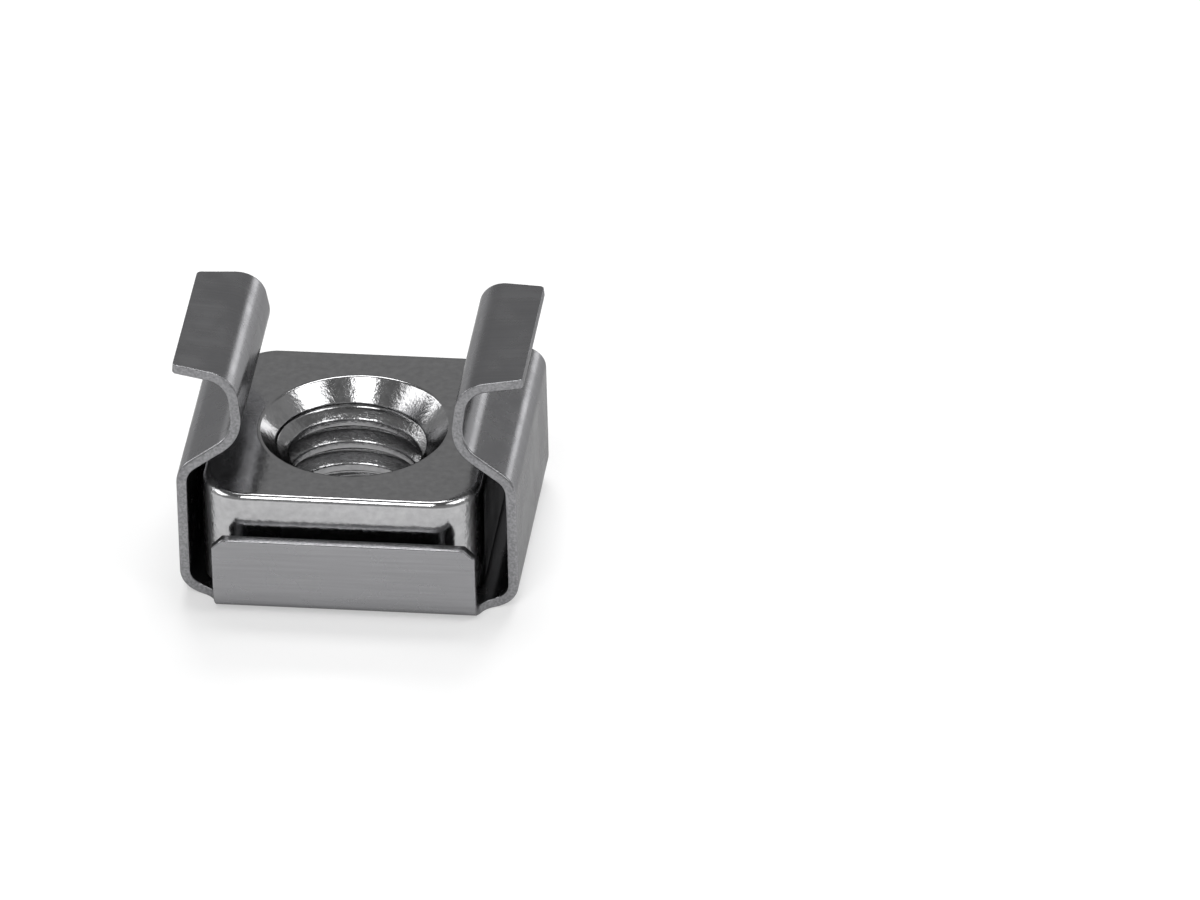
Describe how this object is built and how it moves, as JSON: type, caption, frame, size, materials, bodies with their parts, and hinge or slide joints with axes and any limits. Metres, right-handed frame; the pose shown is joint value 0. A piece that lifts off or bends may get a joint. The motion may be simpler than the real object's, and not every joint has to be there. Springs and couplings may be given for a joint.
{
  "type": "rack cage nut",
  "caption": "Square nut held loosely in a folded spring steel cage whose two flared ears snap into a square panel hole.",
  "frame": {"origin": "on the axis of the screw hole in the cage's base plate, at the plate's underside", "axes": "+Z from the base plate up to the ears, along the screw; X from ear to ear, Y from end tab to end tab"},
  "size_m": [0.0134, 0.0122, 0.0093],
  "materials": {
    "cage_sheet": "satin plated spring steel",
    "nut_plating": "bright plated steel"
  },
  "bodies": {
    "root": {"spring_cage": "cage_sheet", "square_nut": "nut_plating"}
  },
  "joints": []
}
